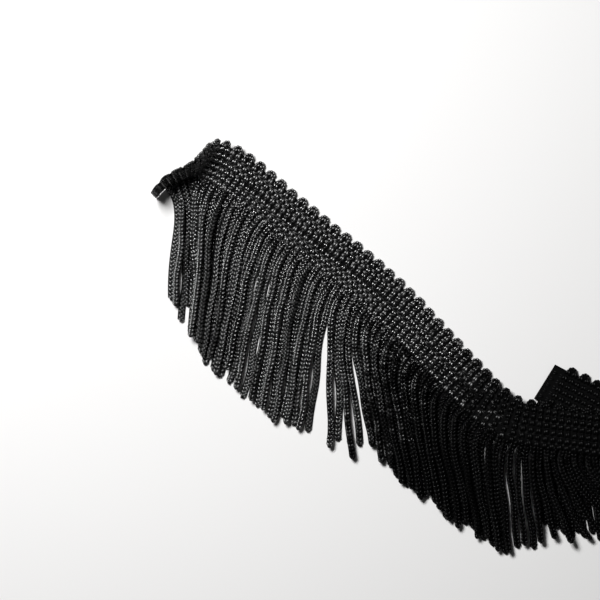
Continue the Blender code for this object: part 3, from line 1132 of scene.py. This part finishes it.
@dataclass
class Fringe:
    """All the fringe, stretch by stretch, in knitted cord."""

    lay: TrimLay
    stitch: KnittedStitch
    cut_end: CutEnd
    turn: CordTurn
    materials: Sequence[bpy.types.Material]

    # The stitches, as shares of their modelled size, and their chances
    cord_width: float = 1.0
    cord_height: float = 1.0
    pitch_spread: float = 0.09
    lowest_tone: float = 0.72
    # Painted shade: stitches further right and down take darker, less shiny copies of the yarn
    painted_shade: PaintedShade = PaintedShade(12.0, 58.0)
    seed: int = 11

    # The yarn inside a cord, which is wider where the cord lies on the surface
    core_half_width: float = 0.92
    low_core_half_width: float = 1.04
    core_half_height: float = 0.2
    core_drop: float = 0.2

    # How a cord comes out of the heading, strays from its line and is cut
    root_depths: tuple[float, float] = (1.4, 0.4)
    wander: float = 0.24
    wander_start: float = 14.0
    wander_waves: tuple[float, float] = (0.18, 0.4)
    end_unevenness: float = 1.4
    last_step: float = 0.4

    def stretches(self) -> list[CordFringe]:
        """The stretches of fringe. The main one is two pieces, to keep each piece small."""
        half = MAIN_CORDS // 2
        upper = (UPPER_LAY, Side.RIGHT)
        lower = (LOWER_LAY, Side.LEFT)
        turned_end = ("fringe_turned_end", *upper, TURNED_END_START, TURNED_END_CORDS, TURNED_END_HANG)
        corner = ("fringe_turned_end", *upper, CORNER_START, CORNER_CORDS, CORNER_HANG)
        main_run = ("fringe_main", *upper, MAIN_START, MAIN_CORDS, MAIN_HANG)
        upper_run = ("fringe_upper_run", *upper, UPPER_RUN_START, UPPER_RUN_CORDS, UPPER_RUN_HANG)
        lower_run = ("fringe_lower_run", *lower, LOWER_RUN_START, LOWER_RUN_CORDS, LOWER_RUN_HANG)
        return [
            CordFringe("cords_turned_end", *turned_end, range(TURNED_END_CORDS)),
            CordFringe("cords_corner", *corner, range(CORNER_CORDS)),
            CordFringe("cords_main_left", *main_run, range(half)),
            CordFringe("cords_main_right", *main_run, range(half, MAIN_CORDS)),
            CordFringe("cords_upper_run", *upper_run, range(UPPER_RUN_CORDS)),
            CordFringe("cords_lower_run", *lower_run, range(LOWER_RUN_CORDS)),
        ]

    def build(self) -> list[bpy.types.Object]:
        """Build every stretch.

        Returns:
            One piece for each stretch.
        """
        stitch = self.stitch.model()
        strands = self.cut_end.model()
        pieces = []
        for number, stretch in enumerate(self.stretches()):
            dice = np.random.default_rng(self.seed + number)
            pile = MeshPile(stretch.name)
            layer = YarnLayer(
                pile,
                stitch,
                self.stitch.pitch,
                dice,
                self.painted_shade,
                pitch_spread=self.pitch_spread,
            )
            roots = stretch.roots()
            for cord in stretch.shown:
                root, outward = roots[cord]
                route = stretch.route(cord, root, outward, self._leaving(root, stretch))
                route = self._wandering(route, dice)
                layer.lay(
                    route,
                    width=self.cord_width,
                    height=self.cord_height,
                    roll=self.turn.draw(dice),
                    tone=float(dice.uniform(self.lowest_tone, 1.0)),
                )
                on_floor = route.points[-1, 2] < CORD_HEIGHT
                core_half_width = self.low_core_half_width if on_floor else self.core_half_width
                layer.lay_core(route, core_half_width, self.core_half_height, self.core_drop)
                self._finish_end(pile, strands, route, dice)
            piece = pile.make_object(self.materials)
            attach(piece, BODY)
            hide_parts(stretch.node)
            pieces.append(piece)
            log.info("%s: cords %d to %d", stretch.name, stretch.shown[0], stretch.shown[-1])
        return pieces

    def _wandering(self, route: Route, dice: np.random.Generator) -> Route:
        """The route, with the cord a little out of line once it is free, and its end cut unevenly.

        Args:
            route: The line of a cord that hangs evenly.
            dice: The source of chance.

        Returns:
            The uneven line.
        """
        marks = route.travelled()
        ahead = unit_rows(np.gradient(route.points, axis=0))
        sideways = unit_rows(np.cross(ahead, route.ups))
        wave = dice.uniform(*self.wander_waves)
        phase = dice.uniform(0, 2 * math.pi)
        free = np.clip(marks / self.wander_start, 0.0, 1.0)
        shift = self.wander * free * np.sin(wave * marks + phase)
        line = Route(route.points + sideways * shift[:, None], route.ups)
        length = line.length() + dice.uniform(-self.end_unevenness, self.end_unevenness)
        end = line.frames(np.array([length]))[0]
        kept = int(np.sum(line.travelled() < length - self.last_step))
        return Route(np.vstack([line.points[:kept], end]), np.vstack([route.ups[:kept], route.ups[-1:]]))

    def _leaving(self, root: Vector, stretch: CordFringe) -> np.ndarray:
        """Two places just inside the heading's plain edge, behind a cord's root.

        Args:
            root: Where the cord leaves its strip.
            stretch: The stretch of fringe that it belongs to.

        Returns:
            The two places, the one further inside first.
        """
        plain = self.lay.edges + self.lay.acrosses * HEADING_WIDTH
        target = np.array((root.x, root.y, root.z + HEADING_THICKNESS / 2))
        distances = np.linalg.norm(plain - target, axis=1)
        first_lower = len(TrimLay.smooth_lay(UPPER_LAY))
        if stretch.side is Side.RIGHT:
            distances[first_lower:] = np.inf
        else:
            distances[:first_lower] = np.inf
        nearest = int(distances.argmin())
        edge = self.lay.edges[nearest]
        across = self.lay.acrosses[nearest]
        return np.array([edge + across * (HEADING_WIDTH - depth) for depth in self.root_depths])

    def _finish_end(self, pile: MeshPile, strands: Shape, route: Route, dice: np.random.Generator) -> None:
        """Put the yarn ends at the cut end of a cord.

        Args:
            pile: Where they go.
            strands: The yarn ends, as modelled.
            route: The line that the cord's middle follows.
            dice: The source of chance.
        """
        turn = dice.uniform(-self.cut_end.turn, self.cut_end.turn)
        local = strands.places * (1 + self.cut_end.size_spread * dice.standard_normal(3))
        across = local[:, 0] * math.cos(turn) + local[:, 2] * math.sin(turn)
        high = local[:, 2] * math.cos(turn) - local[:, 0] * math.sin(turn)
        distances = np.full(len(local), route.length()) + local[:, 1]
        place, _, sideways, up = route.frames(distances)
        placed = place + sideways * across[:, None] + up * high[:, None]
        dull = np.array([Finish.DULL_AND_SHADED.value])
        pile.add_copies(strands, placed[None, :, :], np.array([self.cut_end.tone]), dull)


@dataclass
class Heading:
    """The knitted heading: cords that cross it and turn in scallops, bound by chain rows."""

    lay: TrimLay
    stitch: KnittedStitch
    scallop_stitch: ScallopStitch
    chain: ChainStitch
    materials: Sequence[bpy.types.Material]
    # Painted shade: stitches further right and down, and those left of -31 mm, take darker, less shiny
    # copies of the yarn
    painted_shade: PaintedShade = PaintedShade(40.0, 84.0, half_shaded_left_of=-31.0)
    seed: int = 5

    # The chain rows
    chain_rows: int = 5
    first_chain_row: float = 2.8
    chain_row_pitch: float = 1.98
    chain_height: float = 0.3
    chain_tone: float = 0.5
    row_inset: float = 0.5
    row_step: float = 0.4

    # The ground sheet
    ground_thickness: float = 0.5
    ground_inset: float = 0.6
    ground_end_inset: float = 0.3
    ground_steps: tuple[int, int] = (460, 6)

    # The cords that cross the heading, which puff up between the chain rows
    cord_width: float = 0.93
    cord_height: float = 1.0
    cord_tones: tuple[float, float] = (0.65, 0.95)
    cord_turn: float = 0.1
    cord_lift: float = 0.12
    cord_from: float = 0.3
    cord_to: float = 0.8
    cord_points: int = 44
    core_half_width: float = 0.8
    core_half_height: float = 0.22
    puff: float = 0.36

    # The scallops: an outer loop, an inner loop and the filling inside them
    scallop_root: float = 0.55
    scallop_reach: float = 1.4
    scallop_spread: float = 0.07
    outer_loop: float = 1.2
    inner_loop: float = 0.52
    inner_reach_share: float = 0.42
    inner_height: float = 0.32
    loop_points: int = 15
    loop_overrun: float = 0.35
    filling_size: tuple[float, float, float] = (2.2, 2.0, 0.7)
    filling_share: float = 0.45

    # The cut ends, and the length over which the turned-up one is pressed thin
    cut_inset: float = 0.4
    end_thickness: float = 0.28
    end_length: float = 15.0

    def build(self) -> list[bpy.types.Object]:
        """Build the heading's pieces.

        Returns:
            The ground sheet, the crossing cords, and the chain rows of both faces.
        """
        ground = self._ground()
        cords = self._crossing_cords()
        rows = self._chain_rows()
        for piece in (ground, cords, rows):
            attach(piece, BODY)
            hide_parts("heading")
        return [ground, cords, rows]

    def _ground(self) -> bpy.types.Object:
        """The thin sheet of looped yarn that the cords and chain rows are knitted into."""
        deselect_all()
        along_steps, across_steps = self.ground_steps
        bpy.ops.mesh.primitive_grid_add(x_subdivisions=along_steps, y_subdivisions=across_steps, size=1.0)
        ground = bpy.context.active_object
        ground.name = "heading_ground"
        ground.data.name = "heading_ground"
        count = len(ground.data.vertices)
        flat = np.zeros(count * 3)
        ground.data.vertices.foreach_get("co", flat)
        flat = flat.reshape(-1, 3)
        inset = self.ground_end_inset
        along = inset + (flat[:, 0] + 0.5) * (self.lay.length() - 2 * inset)
        across = self.ground_inset + (flat[:, 1] + 0.5) * (HEADING_WIDTH - 2 * self.ground_inset)
        places = self.lay.place(along, across, np.zeros(count))
        places = (places + np.array(PHOTO_CENTRE)) * MILLIMETRE
        ground.data.vertices.foreach_set("co", places.reshape(-1))
        pressed = ground.vertex_groups.new(name="pressed")
        for number, distance in enumerate(along):
            pressed.add([number], float(self.thickness_at(distance)), "REPLACE")
        thickness = ground.modifiers.new("thickness", "SOLIDIFY")
        thickness.thickness = self.ground_thickness * MILLIMETRE
        thickness.offset = 0.0
        thickness.vertex_group = pressed.name
        bpy.ops.object.modifier_apply(modifier=thickness.name)
        ground.data.shade_smooth()
        ground.data.materials.append(self.materials[Finish.INNER.value])
        return ground

    def _crossing_cords(self) -> bpy.types.Object:
        """The cords that cross the heading in pairs, each pair joined by its scallop."""
        dice = np.random.default_rng(self.seed)
        pile = MeshPile("heading_cords")
        middle = (0.0, 0.0, 0.0)
        filling = YarnLeg(*self.filling_size, arch=0.0, turn=0.0, roll=0.0, centre=middle).model()
        cord = YarnLayer(pile, self.stitch.model(), self.stitch.pitch, dice, self.painted_shade)
        loop = YarnLayer(pile, self.scallop_stitch.model(), self.scallop_stitch.pitch, dice, self.painted_shade)
        for number in range(int(self.lay.length() / SCALLOP_PITCH)):
            start = (number + 0.5) * SCALLOP_PITCH
            thickness = self.thickness_at(start)
            tone = float(dice.uniform(*self.cord_tones))
            for side in (-1, 1):
                route = self._crossing(start, side)
                turn = dice.normal(0, self.cord_turn)
                cord.lay(
                    route,
                    width=self.cord_width,
                    height=self.cord_height * thickness,
                    roll=lambda distances, turn=turn: np.full(distances.shape, turn),
                    tone=tone,
                )
                cord.lay_core(route, self.core_half_width, self.core_half_height * thickness)
            reach = self.scallop_reach + dice.normal(0, self.scallop_spread)
            self._fill_scallop(pile, filling, start, reach, thickness)
            outer = self._scallop(start, self.outer_loop, reach, 0.0)
            loop.lay(outer, height=thickness, tone=tone)
            inner_reach = reach * self.inner_reach_share
            inner = self._scallop(start, self.inner_loop, inner_reach, self.inner_height * thickness)
            loop.lay(inner, height=thickness, tone=tone)
        return pile.make_object(self.materials)

    def thickness_at(self, along: float) -> float:
        """How thick the heading is at a distance along it, as a share: its cut end is pressed thin."""
        return self.end_thickness + (1 - self.end_thickness) * ease(along / self.end_length)

    def _crossing(self, start: float, side: int) -> Route:
        """The line of one of a scallop's two cords, from the plain edge up to its scallop.

        Args:
            start: Where the scallop's middle lies along the scalloped edge.
            side: Which of the two cords it is, -1 or 1.

        Returns:
            The route, which rises between the chain rows and dips under them.
        """
        across = np.linspace(HEADING_WIDTH - self.cord_from, self.cord_to, self.cord_points)
        swell = 0.5 - 0.5 * np.cos(2 * math.pi * (across - self.first_chain_row) / self.chain_row_pitch)
        along = self._within_cuts(np.full(self.cord_points, start + side * CORD_PITCH / 2))
        height = (self.puff * (swell - 0.5) + self.cord_lift) * self.thickness_at(start)
        return Route(self.lay.place(along, across, height), self.lay.frames(along)[2])

    def _within_cuts(self, along: np.ndarray) -> np.ndarray:
        """Distances along the heading, kept a little inside its two cut ends."""
        return np.clip(along, self.cut_inset, self.lay.length() - self.cut_inset)

    def _fill_scallop(
        self,
        pile: MeshPile,
        filling: Shape,
        start: float,
        reach: float,
        thickness: float,
    ) -> None:
        """Fill a scallop's loop with the yarn inside it.

        Args:
            pile: Where the filling goes.
            filling: The filling, as modelled.
            start: Where the scallop's middle lies along the scalloped edge.
            reach: How far the scallop stands out.
            thickness: The heading's thickness there, as a share.
        """
        along = self._within_cuts(start + filling.places[:, 0])
        across = self.scallop_root - reach * self.filling_share - filling.places[:, 1]
        placed = self.lay.place(along, across, filling.places[:, 2] * thickness)
        inner = np.array([Finish.INNER.value])
        pile.add_copies(filling, placed[None, :, :], np.zeros(1), inner)

    def _scallop(self, start: float, half_width: float, reach: float, height: float) -> Route:
        """The line of a loop round a scallop.

        Args:
            start: Where the scallop's middle lies along the scalloped edge.
            half_width: How far to either side the loop goes.
            reach: How far it stands out.
            height: How high out of the heading's face it lies.

        Returns:
            The route, whose two ends go down into the heading.
        """
        turn = np.linspace(-self.loop_overrun, math.pi + self.loop_overrun, self.loop_points)
        along = self._within_cuts(start - half_width * np.cos(turn))
        across = self.scallop_root - reach * np.sin(turn)
        raised = np.full(len(turn), height)
        return Route(self.lay.place(along, across, raised), self.lay.frames(along)[2])

    def _chain_rows(self) -> bpy.types.Object:
        """The chain rows along both faces of the heading."""
        dice = np.random.default_rng(self.seed + 1)
        pile = MeshPile("heading_chains")
        stitch = self.chain.model()
        layer = YarnLayer(pile, stitch, self.chain.pitch, dice, self.painted_shade)
        for face in Face:
            for row in range(self.chain_rows):
                distance = self.first_chain_row + row * self.chain_row_pitch
                along = np.arange(self.row_inset, self.lay.length() - self.row_inset, self.row_step)
                across = np.full(len(along), distance)
                thickness = np.array([self.thickness_at(value) for value in along])
                height = self.chain_height * face.value * thickness
                points = self.lay.place(along, across, height)
                ups = self.lay.frames(along)[2] * face.value
                layer.lay(Route(points, ups), tone=self.chain_tone)
        return pile.make_object(self.materials)


@dataclass(frozen=True)
class Studio:
    """A plain pale surface, soft light and a camera straight above."""

    frame_width: float = 0.17647
    camera_height: float = 0.9
    sensor: float = 36.0
    floor_size: float = 4.0
    world_strength: float = 0.015

    def build(self) -> None:
        """Set the stage."""
        self._floor()
        self._lights()
        self._camera()

    def _floor(self) -> None:
        """Lay the floor."""
        deselect_all()
        bpy.ops.mesh.primitive_plane_add(size=self.floor_size, location=(0.0, 0.0, 0.0))
        floor = bpy.context.active_object
        floor.name = "floor"
        material = bpy.data.materials.new("pale_floor")
        material.use_nodes = True
        shader = material.node_tree.nodes["Principled BSDF"]
        shader.inputs["Base Color"].default_value = (0.82, 0.815, 0.81, 1.0)
        shader.inputs["Roughness"].default_value = 0.75
        floor.data.materials.append(material)

    def _lights(self) -> None:
        """Hang a soft key light, a fill light, and pale light all round."""
        centre = PHOTO_CENTRE * MILLIMETRE
        lamps = (
            ("key", (-0.17, 0.21, 0.46), 0.16, 3.9),
            ("fill", (0.9, -0.5, 0.9), 0.8, 0.4),
        )
        for name, place, size, power in lamps:
            data = bpy.data.lights.new(name, "AREA")
            data.shape = "SQUARE"
            data.size = size
            data.energy = power
            lamp = bpy.data.objects.new(name, data)
            lamp.location = centre + Vector(place)
            lamp.rotation_euler = (-Vector(place)).to_track_quat("-Z", "Y").to_euler()
            bpy.context.scene.collection.objects.link(lamp)
        world = bpy.data.worlds.new("studio")
        world.use_nodes = True
        background = world.node_tree.nodes["Background"]
        background.inputs["Color"].default_value = (1.0, 1.0, 1.0, 1.0)
        background.inputs["Strength"].default_value = self.world_strength
        bpy.context.scene.world = world
        bpy.context.scene.view_settings.view_transform = "Standard"

    def _camera(self) -> None:
        """Hang the camera over the photograph's centre."""
        data = bpy.data.cameras.new("camera")
        data.sensor_width = self.sensor
        data.lens = self.sensor * self.camera_height / self.frame_width
        camera = bpy.data.objects.new("camera", data)
        camera.location = PHOTO_CENTRE * MILLIMETRE + Vector((0.0, 0.0, self.camera_height))
        bpy.context.scene.collection.objects.link(camera)
        bpy.context.scene.camera = camera


def yarn_materials() -> list[bpy.types.Material]:
    """Make the materials.

    Returns:
        The materials, in the order of their finishes' numbers.
    """
    yarn = YarnFinish(
        name="black_yarn",
        dark=(0.001, 0.001, 0.0011, 1.0),
        light=(0.003, 0.003, 0.0032, 1.0),
        roughness_dull=0.7,
        roughness_bright=0.24,
        filament_ridges=14.0,
        filament_twist=0.5,
        filament_depth=0.0000015,
        fuzz_size=0.0003,
        fuzz_share=0.1,
        specular=1.0,
        refraction=1.7,
    )
    # Painted shade: a less shiny copy of the yarn
    half_shaded_yarn = replace(yarn, name="half_shaded_black_yarn", specular=0.7, refraction=1.5)
    # Painted shade: a darker, far less shiny copy of the yarn, which the cut yarn ends take as well
    dull_and_shaded_yarn = replace(
        yarn,
        name="dull_and_shaded_black_yarn",
        dark=(0.0008, 0.0008, 0.0009, 1.0),
        light=(0.002, 0.002, 0.0021, 1.0),
        roughness_bright=0.26,
        specular=0.12,
        refraction=1.5,
    )
    inner_yarn = YarnFinish(
        name="inner_yarn",
        dark=(0.0012, 0.0012, 0.0013, 1.0),
        light=(0.0022, 0.0022, 0.0023, 1.0),
        roughness_dull=0.9,
        roughness_bright=0.9,
        filament_ridges=120.0,
        filament_twist=0.5,
        filament_depth=0.00004,
        fuzz_size=0.0004,
        fuzz_share=0.5,
        specular=0.08,
    )
    return [finish.build() for finish in (inner_yarn, yarn, half_shaded_yarn, dull_and_shaded_yarn)]


def main() -> None:
    """Build the trim and its stage."""
    logging.basicConfig(level=logging.INFO, format="%(name)s: %(message)s")
    Studio().build()
    materials = yarn_materials()
    lay = TrimLay()
    fringe = Fringe(lay, KnittedStitch(), CutEnd(), CordTurn(), materials).build()
    knob = KnittedStitch(
        pitch=1.95,
        leg_length=2.15,
        leg_width=0.98,
        leg_height=0.86,
        leg_offset=0.38,
        leg_turn=math.radians(-24),
        leg_tilt=math.radians(-8),
        leg_arch=0.34,
        face_height=0.34,
    )
    heading = Heading(lay, knob, ScallopStitch(), ChainStitch(), materials).build()
    lay.length() * MILLIMETRE


if __name__ == "__main__":
    main()
